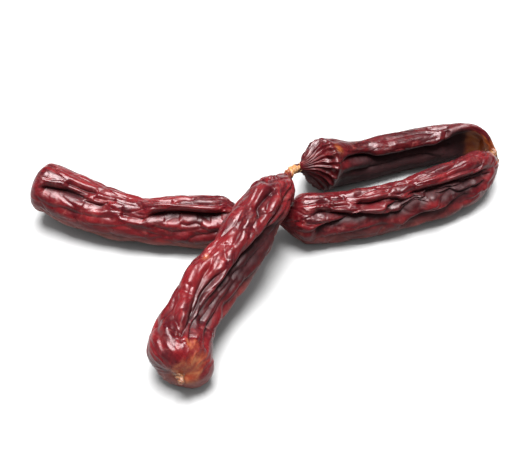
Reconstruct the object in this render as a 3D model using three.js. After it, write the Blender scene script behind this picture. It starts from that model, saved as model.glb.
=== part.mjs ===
// A string of dried, cured sausage: four links in one natural casing, parted by three twists.
// It lies as it was put down. The front link lies across the middle twist, and the two right
// links are folded back on each other, as they dried over a stick.
// Units are millimetres, +Z is up and z = 0 is the surface that the string rests on. X runs
// along the left and right links. The origin is under the middle of the whole string.

import * as THREE from 'three';

const SIDES_AROUND_LINK = 24;
const STEPS_ALONG_LINK = 38;
const SIDES_AROUND_TWIST = 14;
const STEPS_ALONG_TWIST = 14;

const NECK_RADIUS = 2.3; // where a link's casing is gathered shut
const TWIST_RADIUS = 2.1;
const TWIST_LOBES = 3; // folds of casing wound round each other
const TWIST_LOBE_DEPTH = 0.16; // of the twist's radius
const CONTACT_GAP = 0.35; // between pieces that touch

// The middle twist is the origin of the routes below. This moves them to the object's origin.
const ROUTE_SHIFT = new THREE.Vector3(-5.54, 16.12, 0);

// A route's rows are x, y, z of the link's middle line, then half its width and half its height.
// A gather is how a link's end closes: the length over which it closes, then how full it stays
// (1 is a straight cone, 2 is a round end) along the link and across it.
const LINKS = {
  link_front: {
    route: [
      [13.2, 17, 24, 6, 6],
      [5.4, 0, 26.8, 11, 11],
      [-2.6, -14.7, 26.2, 11.6, 11.7],
      [-10.2, -28.7, 23, 12, 11.8],
      [-20, -43, 19.5, 12.5, 11.7],
      [-27.8, -57, 16.5, 12.6, 11.7],
      [-32.6, -70.4, 14, 12.6, 12.3],
      [-33.4, -81, 12.4, 13, 13],
      [-33, -92.6, 12.6, 11.7, 12],
    ],
    gatherStart: [16, 1.5, 1.25],
    gatherEnd: [8, 2.4, 2.2],
  },
  link_left: {
    route: [
      [-110, 17.3, 18, 12.3, 12.5],
      [-97.7, 13.5, 15.5, 12.3, 12.6],
      [-80, 6.4, 12.8, 11.9, 12],
      [-60, 0, 10.9, 11.3, 11.4],
      [-40, -1.3, 11.2, 11.6, 11.8],
      [-22, -1, 11.2, 11.6, 11.8],
      [-5, 0.2, 10, 8, 8],
    ],
    gatherStart: [8, 2.6, 2.2],
    gatherEnd: [14, 1.5, 1.3],
  },
  link_right_near: {
    route: [
      [5.5, 0.7, 10, 8, 8],
      [18.5, 0, 11.5, 12, 12],
      [35.5, 2.2, 11, 11.5, 11.5],
      [54, 6.3, 11, 11.5, 11.5],
      [74, 12.5, 11, 11.5, 11.5],
      [91, 20, 11, 11.3, 11.4],
      [103.5, 27.5, 11, 10.5, 11],
      [111.5, 34.5, 11.5, 8.3, 9.8],
      [116.3, 41.5, 12, 5, 6],
    ],
    gatherStart: [15, 1.3, 1.15],
    gatherEnd: [6, 2, 2],
  },
  link_right_far: {
    route: [
      [20.4, 26.2, 20, 8, 8],
      [30.7, 34, 15.2, 13, 13],
      [45.5, 40.2, 10.8, 11, 11.2],
      [61.3, 46, 10.2, 10.6, 10.8],
      [79, 52, 10, 10.4, 10.6],
      [95.7, 56, 10.4, 9, 10.8],
      [107.5, 56, 11.5, 4.5, 11.5],
      [114, 53, 12, 3.2, 9.5],
      [117.4, 49.2, 12, 3, 6],
    ],
    gatherStart: [13, 1.4, 1.2],
    gatherEnd: [5, 2, 2],
  },
};

// Each twist joins the end of one link to the end of the next.
const TWISTS = {
  twist_front: { from: ['link_front', 0], to: ['link_right_far', 0], reach: 3.5, turns: 1.5 },
  twist_middle: { from: ['link_left', 1], to: ['link_right_near', 0], reach: 2.5, turns: 1.25 },
  twist_right: { from: ['link_right_near', 1], to: ['link_right_far', 1], reach: 2.2, turns: 1 },
};

const TAIL_LENGTH = 4.5; // pinched casing left at the front link's free end
const TAIL_TIP_RADIUS = 1.1;
const FLAP_LENGTH = 8; // loose scrap of casing hanging from the right twist
const FLAP_WIDTH = 3.4;
const FLAP_THICKNESS = 0.7;
const FLAP_TOP = new THREE.Vector3(120.85, 45.4, 14.2);
const FLAP_LEAN = 0.12; // radians away from the string at its foot

const MEAT = { color: 0x6b1d20, roughness: 0.36, metalness: 0 };
const CASING = { color: 0xd08a3a, roughness: 0.42, metalness: 0 };
const DRY_CASING = { color: 0xe0cdb4, roughness: 0.5, metalness: 0 };

const UP = new THREE.Vector3(0, 0, 1);

const group = new THREE.Group();

function addMesh(name, geometry, finish) {
  const mesh = new THREE.Mesh(geometry, new THREE.MeshStandardMaterial(finish));
  mesh.name = name;
  group.add(mesh);
}

// Closes a row of equal rings into one body, with a middle point on each end ring.
function closedLoft(rings) {
  const sides = rings[0].length;
  const points = rings.flat();
  const startMiddle = points.length;
  const endMiddle = startMiddle + 1;
  const last = (rings.length - 1) * sides;
  const middleOf = (ring) =>
    ring.reduce((sum, point) => sum.add(point), new THREE.Vector3()).divideScalar(sides);
  points.push(middleOf(rings[0]), middleOf(rings[rings.length - 1]));
  const faces = [];
  for (let side = 0; side < sides; side += 1) {
    const next = (side + 1) % sides;
    for (let ring = 0; ring < rings.length - 1; ring += 1) {
      const a = ring * sides + side;
      const b = ring * sides + next;
      faces.push(a, b, a + sides, b, b + sides, a + sides);
    }
    faces.push(startMiddle, next, side);
    faces.push(endMiddle, last + side, last + next);
  }
  const geometry = new THREE.BufferGeometry().setFromPoints(points);
  geometry.setIndex(faces);
  geometry.computeVertexNormals();
  return geometry;
}

// A point on a ring: angle 0 is the ring's top, and it turns towards the ring's left side.
function ringPoint(centre, tangent, angle, width, height) {
  const top = UP.clone().addScaledVector(tangent, -UP.dot(tangent)).normalize();
  const side = new THREE.Vector3().crossVectors(tangent, top);
  return centre
    .clone()
    .addScaledVector(top, height * Math.cos(angle))
    .addScaledVector(side, width * Math.sin(angle));
}

function fullness(distance, [length, along, across]) {
  const reach = Math.min(distance / length, 1);
  return (1 - (1 - reach) ** along) ** (1 / across);
}

function routeCurve(link) {
  return new THREE.CatmullRomCurve3(
    link.route.map(([x, y, z]) => new THREE.Vector3(x, y, z).add(ROUTE_SHIFT)),
    false,
    'catmullrom',
    0.5,
  );
}

// One link: round rings along its route, gathered at both ends and flat where it rests.
function linkGeometry(link) {
  const curve = routeCurve(link);
  const size = new THREE.CatmullRomCurve3(
    link.route.map(([, , , width, height]) => new THREE.Vector3(width, height, 0)),
    false,
    'catmullrom',
    0.5,
  );
  const length = curve.getLength();
  const rings = [];
  for (let step = 0; step <= STEPS_ALONG_LINK; step += 1) {
    const even = step / STEPS_ALONG_LINK;
    const eased = 0.5 - 0.5 * Math.cos(Math.PI * even);
    const along = 0.5 * even + 0.5 * eased; // rings are closer together at the ends
    const t = curve.getUtoTmapping(along);
    const centre = curve.getPoint(t);
    const tangent = curve.getTangent(t);
    const full = size.getPoint(t);
    const closing =
      fullness(along * length, link.gatherStart) *
      fullness((1 - along) * length, link.gatherEnd);
    const width = Math.max(NECK_RADIUS, full.x * closing);
    const height = Math.max(NECK_RADIUS, full.y * closing);
    const ring = [];
    for (let side = 0; side < SIDES_AROUND_LINK; side += 1) {
      const angle = (side / SIDES_AROUND_LINK) * Math.PI * 2;
      const point = ringPoint(centre, tangent, angle, width, height);
      point.z = Math.max(point.z, 0);
      ring.push(point);
    }
    rings.push(ring);
  }
  return closedLoft(rings);
}

// A link's end, and the way that it faces.
function linkEnd([name, end]) {
  const curve = routeCurve(LINKS[name]);
  const facing = curve.getTangent(end).multiplyScalar(end === 0 ? -1 : 1);
  return { point: curve.getPoint(end), facing };
}

// Casing wound into a short rope. radiusAt gives its radius from 0 at its start to 1 at its end.
function twistedRope(curve, turns, radiusAt) {
  const rings = [];
  for (let step = 0; step <= STEPS_ALONG_TWIST; step += 1) {
    const along = step / STEPS_ALONG_TWIST;
    const centre = curve.getPointAt(along);
    const tangent = curve.getTangentAt(along);
    const ring = [];
    for (let side = 0; side < SIDES_AROUND_TWIST; side += 1) {
      const angle = (side / SIDES_AROUND_TWIST) * Math.PI * 2;
      const lobe = Math.cos(TWIST_LOBES * angle + turns * Math.PI * 2 * along);
      const radius = radiusAt(along) * (1 + TWIST_LOBE_DEPTH * lobe);
      ring.push(ringPoint(centre, tangent, angle, radius, radius));
    }
    rings.push(ring);
  }
  return closedLoft(rings);
}

function twistGeometry({ from, to, reach, turns }) {
  const start = linkEnd(from);
  const end = linkEnd(to);
  const offEnd = (linkEndPoint, distance) =>
    linkEndPoint.point.clone().addScaledVector(linkEndPoint.facing, distance);
  const curve = new THREE.CatmullRomCurve3(
    [
      offEnd(start, CONTACT_GAP),
      offEnd(start, reach),
      offEnd(end, reach),
      offEnd(end, CONTACT_GAP),
    ],
    false,
    'catmullrom',
    0.5,
  );
  const waist = (along) => TWIST_RADIUS * (0.86 + 0.14 * Math.cos(Math.PI * 2 * along));
  return twistedRope(curve, turns, waist);
}

function tailGeometry() {
  const end = linkEnd(['link_front', 1]);
  const root = end.point.clone().addScaledVector(end.facing, CONTACT_GAP);
  const tip = end.point.clone().addScaledVector(end.facing, TAIL_LENGTH);
  const taper = (along) => TWIST_RADIUS + (TAIL_TIP_RADIUS - TWIST_RADIUS) * along;
  return twistedRope(new THREE.LineCurve3(root, tip), 0.75, taper);
}

function flapGeometry() {
  const outline = new THREE.Shape();
  outline.moveTo(-0.3 * FLAP_WIDTH, 0);
  outline.lineTo(0.3 * FLAP_WIDTH, 0);
  outline.quadraticCurveTo(
    0.7 * FLAP_WIDTH,
    -0.5 * FLAP_LENGTH,
    0.2 * FLAP_WIDTH,
    -FLAP_LENGTH,
  );
  outline.quadraticCurveTo(
    -0.75 * FLAP_WIDTH,
    -0.6 * FLAP_LENGTH,
    -0.3 * FLAP_WIDTH,
    0,
  );
  const geometry = new THREE.ExtrudeGeometry(outline, {
    depth: FLAP_THICKNESS,
    bevelEnabled: false,
    curveSegments: 6,
  });
  geometry.rotateX(Math.PI / 2);
  geometry.rotateZ(Math.PI / 2);
  geometry.rotateY(-FLAP_LEAN);
  const top = FLAP_TOP.clone().add(ROUTE_SHIFT);
  geometry.translate(top.x, top.y, top.z);
  return geometry;
}

for (const [name, link] of Object.entries(LINKS)) {
  addMesh(name, linkGeometry(link), MEAT);
}
for (const [name, twist] of Object.entries(TWISTS)) {
  addMesh(name, twistGeometry(twist), CASING);
}
addMesh('casing_tail', tailGeometry(), CASING);
addMesh('casing_flap', flapGeometry(), DRY_CASING);

export default group;
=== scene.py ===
"""A string of dried, cured sausage on a white table: four wrinkled links in one natural casing."""

import math

import bpy
import numpy as np
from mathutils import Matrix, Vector


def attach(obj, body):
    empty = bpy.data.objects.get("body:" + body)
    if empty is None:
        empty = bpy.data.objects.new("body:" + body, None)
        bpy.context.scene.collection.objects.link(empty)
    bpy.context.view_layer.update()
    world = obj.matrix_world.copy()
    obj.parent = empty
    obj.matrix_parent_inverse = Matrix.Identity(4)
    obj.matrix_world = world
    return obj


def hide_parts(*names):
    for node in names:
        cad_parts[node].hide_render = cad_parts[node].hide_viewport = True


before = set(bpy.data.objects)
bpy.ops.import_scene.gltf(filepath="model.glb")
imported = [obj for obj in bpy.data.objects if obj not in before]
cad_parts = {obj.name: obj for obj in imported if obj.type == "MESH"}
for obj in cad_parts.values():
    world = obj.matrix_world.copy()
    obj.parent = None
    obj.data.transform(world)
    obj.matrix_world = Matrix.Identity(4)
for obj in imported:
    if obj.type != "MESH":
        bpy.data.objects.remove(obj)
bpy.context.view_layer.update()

# ---------------------------------------------------------------------------------------------
# Routes, in millimetres. They repeat the CAD model's routes, so that each piece lies where its
# solid lies. Rows: x, y, z of the middle line, then half width and half height.
# ---------------------------------------------------------------------------------------------

MM = 0.001
ROUTE_SHIFT = np.array([-5.54, 16.12, 0.0])
NECK_RADIUS = 2.3  # the least that a link closes to at its ends
FOLD_RADIUS = 11.5  # turns an angle round a link into millimetres

FRONT = {
    "route": [
        (13.2, 17, 24, 6, 6),
        (5.4, 0, 26.8, 11, 11),
        (-2.6, -14.7, 26.2, 11.6, 11.7),
        (-10.2, -28.7, 23, 12, 11.8),
        (-20, -43, 19.5, 12.5, 11.7),
        (-27.8, -57, 16.5, 12.6, 11.7),
        (-32.6, -70.4, 14, 12.6, 12.3),
        (-33.4, -81, 12.4, 13, 13),
        (-33, -92.6, 12.6, 11.7, 12),
    ],
    "gather_start": (16, 1.5, 1.25),
    "gather_end": (8, 2.4, 2.2),
}
LEFT = {
    "route": [
        (-110, 17.3, 18, 12.3, 12.5),
        (-97.7, 13.5, 15.5, 12.3, 12.6),
        (-80, 6.4, 12.8, 11.9, 12),
        (-60, 0, 10.9, 11.3, 11.4),
        (-40, -1.3, 11.2, 11.6, 11.8),
        (-22, -1, 11.2, 11.6, 11.8),
        (-5, 0.2, 10, 8, 8),
    ],
    "gather_start": (8, 2.6, 2.2),
    "gather_end": (14, 1.5, 1.3),
}
NEAR = {
    "route": [
        (5.5, 0.7, 10, 8, 8),
        (18.5, 0, 11.5, 12, 12),
        (35.5, 2.2, 11, 11.5, 11.5),
        (54, 6.3, 11, 11.5, 11.5),
        (74, 12.5, 11, 11.5, 11.5),
        (91, 20, 11, 11.3, 11.4),
        (103.5, 27.5, 11, 10.5, 11),
        (111.5, 34.5, 11.5, 8.3, 9.8),
        (116.3, 41.5, 12, 5, 6),
    ],
    "gather_start": (15, 1.3, 1.15),
    "gather_end": (6, 2, 2),
}
FAR = {
    "route": [
        (20.4, 26.2, 20, 8, 8),
        (30.7, 34, 15.2, 13, 13),
        (45.5, 40.2, 10.8, 11, 11.2),
        (61.3, 46, 10.2, 10.6, 10.8),
        (79, 52, 10, 10.4, 10.6),
        (95.7, 56, 10.4, 9, 10.8),
        (107.5, 56, 11.5, 4.5, 11.5),
        (114, 53, 12, 3.2, 9.5),
        (117.4, 49.2, 12, 3, 6),
    ],
    "gather_start": (13, 1.4, 1.2),
    "gather_end": (5, 2, 2),
}

# Rows of points along each link or rope of casing, and columns round it
LINK_ROWS = 400
LINK_COLUMNS = 236
ROPE_ROWS = 110
ROPE_COLUMNS = 72

# ---------------------------------------------------------------------------------------------
# Small numeric tools
# ---------------------------------------------------------------------------------------------


def smoothstep(low, high, x):
    t = np.clip((x - low) / (high - low), 0.0, 1.0)
    return t * t * (3.0 - 2.0 * t)


def unit(v):
    return v / (np.linalg.norm(v, axis=-1, keepdims=True) + 1e-12)


def catmull_rom(points, t):
    """Points on an open, uniform Catmull-Rom curve, for t from 0 to 1."""
    points = np.asarray(points, float)
    last = len(points) - 1
    padded = np.vstack(
        [2 * points[0] - points[1], points, 2 * points[-1] - points[-2]]
    )
    x = np.clip(np.asarray(t, float), 0.0, 1.0) * last
    i = np.minimum(x.astype(int), last - 1)
    w = (x - i)[..., None]
    p0, p1, p2, p3 = (padded[i + k] for k in range(4))
    v0 = (p2 - p0) * 0.5
    v1 = (p3 - p1) * 0.5
    return (
        (2 * p1 - 2 * p2 + v0 + v1) * w**3
        + (-3 * p1 + 3 * p2 - 2 * v0 - v1) * w**2
        + v0 * w
        + p1
    )


def turned_from(grid, phi):
    """The angle from phi to each grid point, from -180 to 180 degrees."""
    return (grid["phi"] - phi + 180) % 360 - 180


def noise(p, seed):
    """Gradient noise, about -1 to 1, at an array of points (..., 3)."""
    rng = np.random.RandomState(seed)
    table = rng.permutation(256)
    table = np.concatenate([table, table, table])
    gradients = unit(rng.normal(size=(256, 3)))
    cell = np.floor(p).astype(int)
    f = p - cell
    cell &= 255
    fade = f * f * f * (f * (f * 6 - 15) + 10)
    total = np.zeros(p.shape[:-1])
    for dx in (0, 1):
        wx = fade[..., 0] if dx else 1 - fade[..., 0]
        for dy in (0, 1):
            wy = fade[..., 1] if dy else 1 - fade[..., 1]
            for dz in (0, 1):
                wz = fade[..., 2] if dz else 1 - fade[..., 2]
                key = table[table[table[cell[..., 0] + dx] + cell[..., 1] + dy] + cell[..., 2] + dz]
                offset = f - np.array([dx, dy, dz])
                total += wx * wy * wz * np.sum(gradients[key] * offset, axis=-1)
    return total * 1.6


def stretched(p, along, across, seed):
    """Noise whose features are `along` mm long and `across` mm wide on a link."""
    return noise(p / np.array([along, across, across]) + seed * 7.31, seed)


def puffs(p, along, across, seed):
    """Rounded pillows parted by sharp creases: 0 in a crease, up to about 1 on a pillow."""
    n = stretched(p, along, across, seed)
    return np.sqrt(n * n + 0.0016) * 1.7


def crumple(p, along, across, seed):
    """Many-sided pillows parted by a net of sharp creases: 0 in a crease, near 1 on a pillow."""
    rng = np.random.RandomState(seed)
    spots = rng.uniform(0.1, 0.9, size=(4096, 3))
    x = p / np.array([along, across, across]) + seed * 3.17
    cell = np.floor(x).astype(int)
    nearest = np.full(x.shape[:-1], 9.0)
    second = np.full(x.shape[:-1], 9.0)
    for dx in (-1, 0, 1):
        for dy in (-1, 0, 1):
            for dz in (-1, 0, 1):
                there = cell + np.array([dx, dy, dz])
                key = (there[..., 0] * 73 + there[..., 1] * 179 + there[..., 2] * 283) % 4096
                d = np.linalg.norm(there + spots[key] - x, axis=-1)
                second = np.minimum(second, np.maximum(nearest, d))
                nearest = np.minimum(nearest, d)
    return 1 - np.exp(-3.2 * (second - nearest))


# ---------------------------------------------------------------------------------------------
# A link as a grid: rows along it, columns round it
# ---------------------------------------------------------------------------------------------


def fullness(distance, gather):
    """How far a link has opened, 0 to 1, at a distance from an end gathered over some length."""
    length, along, across = gather
    reach = np.clip(distance / length, 0.0, 1.0)
    return (1 - (1 - reach) ** along) ** (1 / across)


ROUTE_SAMPLES = 2401
END_CROWDING = 0.28  # the share of the row spacing that gathers the rows near the ends


def sweep(link, rows, columns):
    """The link's plain surface, as the CAD model has it, with its own straight coordinates."""
    route = np.array(link["route"], float)
    route[:, :3] += ROUTE_SHIFT
    t = np.linspace(0, 1, ROUTE_SAMPLES)
    line = catmull_rom(route[:, :3], t)
    run = np.concatenate([[0], np.cumsum(np.linalg.norm(np.diff(line, axis=0), axis=1))])
    length = run[-1]
    even = np.linspace(0, 1, rows)
    eased = 0.5 - 0.5 * np.cos(np.pi * even)
    s = length * ((1 - END_CROWDING) * even + END_CROWDING * eased)
    ts = np.interp(s, run, t)
    at = catmull_rom(route, ts)
    step = 1e-3
    ahead = catmull_rom(route[:, :3], np.clip(ts + step, 0, 1))
    behind = catmull_rom(route[:, :3], np.clip(ts - step, 0, 1))
    tangent = unit(ahead - behind)
    top = unit(np.array([0, 0, 1.0]) - tangent * tangent[:, 2:3])
    side = np.cross(tangent, top)
    closing = fullness(s, link["gather_start"]) * fullness(length - s, link["gather_end"])
    width = np.maximum(NECK_RADIUS, at[:, 3] * closing)
    height = np.maximum(NECK_RADIUS, at[:, 4] * closing)
    phi = np.linspace(0, 2 * np.pi, columns, endpoint=False)
    phi = np.where(phi > np.pi, phi - 2 * np.pi, phi)
    cos, sin = np.cos(phi), np.sin(phi)
    centre = at[:, :3]
    surface = (
        centre[:, None]
        + top[:, None] * (height[:, None] * cos)[..., None]
        + side[:, None] * (width[:, None] * sin)[..., None]
    )
    along = unit(np.gradient(surface, axis=0))
    around = unit(np.roll(surface, -1, axis=1) - np.roll(surface, 1, axis=1))
    normal = unit(np.cross(around, along))
    outward = surface - centre[:, None]
    normal *= np.sign(np.sum(normal * outward, axis=-1, keepdims=True).mean())
    radius = 0.5 * (width + height)
    straight = np.stack(
        np.broadcast_arrays(s[:, None], radius[:, None] * sin, radius[:, None] * cos), axis=-1
    )
    return {
        "s": s[:, None] + 0 * phi,
        "phi": np.degrees(phi)[None, :] + 0 * s[:, None],
        "length": length,
        "surface": surface,
        "normal": normal,
        "around": around,
        "radius": radius[:, None] + 0 * phi,
        "straight": straight,
    }


def fold_distance(grid, points):
    """Signed distance in mm from each grid point to a line of (mm along, degrees round) points,
    positive on the side of larger angles, and how far along the line it is, from 0 to 1."""
    line = np.array(points, float)
    steps = 5 * (len(line) - 1) + 1
    fine = catmull_rom(line, np.linspace(0, 1, steps))
    v = fine[:, 1] * math.pi / 180 * FOLD_RADIUS
    u = fine[:, 0]
    run = np.concatenate([[0], np.cumsum(np.hypot(np.diff(u), np.diff(v)))])
    middle = fine[:, 1].mean()
    turned = turned_from(grid, middle) + middle
    gu = grid["s"]
    gv = turned * math.pi / 180 * FOLD_RADIUS
    best = np.full(gu.shape, 1e9)
    place = np.zeros(gu.shape)
    side = np.ones(gu.shape)
    for k in range(len(u) - 1):
        du, dv = u[k + 1] - u[k], v[k + 1] - v[k]
        size = math.hypot(du, dv) + 1e-9
        q = np.clip(((gu - u[k]) * du + (gv - v[k]) * dv) / size**2, 0, 1)
        ex, ey = gu - (u[k] + q * du), gv - (v[k] + q * dv)
        d = np.hypot(ex, ey)
        closer = d < best
        best = np.where(closer, d, best)
        place = np.where(closer, (run[k] + q * size) / run[-1], place)
        side = np.where(closer, np.sign(ey * du - ex * dv + 1e-9) * (1 if du >= 0 else -1), side)
    return best * side, place


def spread(value, place, taper):
    """A number, or a list of numbers spaced evenly along a fold, as a value at each point."""
    value = np.atleast_1d(np.asarray(value, float))
    across = np.interp(place, np.linspace(0, 1, len(value)), value) if len(value) > 1 else value[0]
    return across * taper


def add_folds(grid, folds):
    """Height, sideways lean and crease depth, all in mm, from a list of folds. Each fold is
    (points, depth, width, lean, lip); lean is towards larger angles where it is positive."""
    height = np.zeros(grid["s"].shape)
    lean_by = np.zeros(grid["s"].shape)
    crease = np.zeros(grid["s"].shape)
    for points, depth, width, lean, lip in folds:
        d, place = fold_distance(grid, points)
        taper = smoothstep(0, 0.14, place) * smoothstep(1, 0.86, place)
        ends = 0.25 + 0.75 * taper
        depth_here = spread(depth, place, ends)
        width_here = spread(width, place, 0.6 + 0.4 * taper)
        x = np.abs(d) / width_here
        valley = np.exp(-(np.sqrt(x * x + 0.02) - 0.14))
        valley *= smoothstep(5.0, 2.5, x)
        rim = np.exp(-(((x - 2.2) / 0.9) ** 2))
        height += -depth_here * valley + spread(lip, place, taper) * rim
        lean_by += lean * depth_here * valley
        crease += depth_here * valley
    return height, lean_by, crease


def pleats(grid, from_end, gather, count, size, wander, seed):
    """Folds that run out from a gathered end, sharp-crested near the end and fading past it."""
    length = gather[0]
    reach = np.clip(from_end / length, 0, 3)
    phi = np.radians(grid["phi"])
    ring = np.stack([np.cos(phi) * 1.3, np.sin(phi) * 1.3, 0.12 * from_end], axis=-1)
    wobble = noise(ring + seed, seed) * 0.55 + noise(ring * 2.7 + seed, seed + 1) * 0.2
    angle = phi + wander * (wobble + 0.35 * np.exp(-reach * 2))
    crest = 1 - np.abs(np.sin(angle * count / 2)) ** 0.85
    strength = smoothstep(0.02, 0.35, reach) * smoothstep(1.45, 0.75, reach)
    uneven = 0.65 + 0.5 * noise(ring * 1.7 + seed * 3, seed + 2)
    room = np.clip(grid["radius"] / 11.0, 0, 1)
    return size * strength * uneven * (crest - 0.45) * (0.35 + 0.65 * room)


TABLE_PRESS = 0.5


def soft_floor(z):
    """Presses what would sink into the table flat, without a hard edge."""
    return np.where(z < TABLE_PRESS, TABLE_PRESS * np.exp((z - TABLE_PRESS) / TABLE_PRESS), z)


# ---------------------------------------------------------------------------------------------
# The folds of each link: (points, depth, width, lean, lip). Points are mm along the link and
# degrees round it from its top. A depth or width may be a list, spaced evenly along the fold. A
# negative depth is a ridge.
# ---------------------------------------------------------------------------------------------

FRONT_FOLDS = [
    (
        [(22, -76), (30, -86), (37, -88), (45, -80), (51, -74), (58, -69), (64, -66), (70, -60),
         (78, -57), (86, -50), (95, -43), (101, -36), (109, -26), (118, -20)],
        [1.5, 3.2, 4.8, 6.6, 7.2, 7.0, 5.6, 4.0, 3.2, 3.0, 2.8, 2.8, 2.2, 1.0],
        [1.1, 1.3, 1.6, 2.2, 2.6, 2.5, 2.0, 1.5, 1.4, 1.4, 1.3, 1.3, 1.2, 1.0],
        0.6,
        0.7,
    ),
    ([(70, -36), (76, -30), (84, -26), (94, -28), (101, -22), (108, -10), (115, -4)],
     [1.2, 2.6, 3.2, 2.6, 2.2, 1.8, 1.0], [1.2, 1.8, 2.0, 1.6, 1.4, 1.2, 1.0], 0.4, 0.4),
    ([(62, -82), (70, -75), (78, -70), (86, -63), (94, -56), (102, -48)], 2.6, 1.2, 0.3, 0.6),
    ([(24, -96), (34, -102), (45, -96), (54, -91), (62, -88), (72, -84), (84, -78), (96, -70),
      (106, -60), (113, -56)], 2.6, 1.1, 0.3, 0.6),
    ([(30, -114), (42, -112), (54, -107), (66, -100), (78, -94), (92, -88)], 2.2, 1.1, 0.2, 0.5),
    ([(15, -60), (22, -60), (28, -65), (35, -68), (43, -60)], 2.0, 1.1, 0.3, 0.4),
    ([(71, -4), (77, -4), (87, -10), (97, -18), (101, -22)], 1.9, 1.8, 0.2, 0.3),
    ([(84, 6), (88, 4), (92, -2)], 1.0, 1.3, 0.0, 0.2),
    ([(89, 28), (93, 24), (97, 24), (101, 14), (105, 2), (113, -2)], 2.0, 2.0, 0.1, 0.4),
    ([(42, -38), (39, -24), (37, -14), (33, -14), (29, -16), (24, -22)], 2.4, 1.4, 0.0, 0.4),
    ([(37, -40), (34, -32), (30, -28), (26, -26)], 2.0, 1.3, 0.0, 0.3),
    ([(44, 2), (50, 0), (55, -6), (61, -16)], 1.3, 1.5, 0.0, 0.3),
    ([(59, 4), (63, -10), (67, -28)], 1.1, 1.4, 0.0, 0.3),
    ([(28, 16), (33, 12), (39, 10)], 1.0, 1.3, 0.0, 0.2),
    ([(103, 30), (108, 16), (114, 6), (118, -2)], -0.8, 1.8, 0.0, 0.0),
    ([(100, 58), (108, 38), (118, 28), (122, 16)], 1.1, 1.8, 0.0, 0.2),
    ([(106, 6), (112, 8), (119, 6)], 1.2, 1.5, 0.0, 0.2),
]
LEFT_FOLDS = [
    ([(5, 52), (12, 48), (20, 40), (28, 36), (32, 32)], [2.4, 3.8, 4.2, 3.4, 1.4],
     [1.6, 2.0, 2.2, 1.8, 1.2], -0.45, 0.6),
    ([(17, 14), (25, 12), (32, 8), (35, 4)], 2.2, 1.4, -0.3, 0.4),
    ([(18, 32), (22, 30), (27, 24), (32, 20)], 1.3, 1.2, -0.2, 0.2),
    ([(29, 42), (34, 40), (38, 38), (40, 30), (42, 18)], 2.0, 1.6, -0.3, 0.4),
    ([(33, 22), (37, 20), (41, 14), (45, 10)], 1.1, 1.2, 0.0, 0.2),
    ([(59, 46), (67, 40), (78, 40), (83, 44), (92, 44), (99, 30)], [2.4, 4.2, 4.8, 4.8, 4.2, 2.4],
     [1.5, 2.2, 2.4, 2.4, 2.0, 1.5], -0.7, 0.5),
    ([(52, -6), (59, 4), (67, 12), (76, 18), (85, 26), (91, 30), (97, 30)], -0.9, 2.2, 0.0, 0.0),
    ([(60, 14), (56, 24), (52, 30), (48, 32)], 1.4, 2.0, 0.0, 0.3),
    ([(48, 40), (52, 42), (57, 44), (60, 50)], 1.3, 1.2, 0.0, 0.3),
    ([(32, -8), (38, 0), (44, -8), (50, -10)], 1.0, 1.2, 0.0, 0.2),
    ([(62, 2), (69, 0), (76, 2), (85, 6), (91, 6), (98, -6)], 1.3, 1.1, 0.0, 0.2),
    ([(71, -4), (77, -18), (83, -12)], 1.0, 1.0, 0.0, 0.2),
    ([(79, 94), (83, 86), (90, 80), (94, 78)], 1.8, 1.4, 0.0, 0.3),
    ([(62, 60), (67, 70), (72, 78), (78, 76), (84, 72), (89, 68)], 1.4, 1.5, 0.0, 0.3),
    ([(68, 56), (72, 50), (76, 48)], 1.0, 1.0, 0.0, 0.2),
    ([(75, 60), (79, 64), (83, 62), (86, 68)], 1.2, 1.0, 0.0, 0.3),
    ([(83, 50), (86, 52), (90, 58)], 1.0, 1.0, 0.0, 0.2),
    ([(17, 70), (25, 72), (33, 68), (40, 62), (48, 52)], 0.8, 1.2, 0.0, 0.2),
    ([(50, 68), (58, 74), (66, 86), (75, 92)], 0.7, 1.4, 0.0, 0.2),
]
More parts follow.
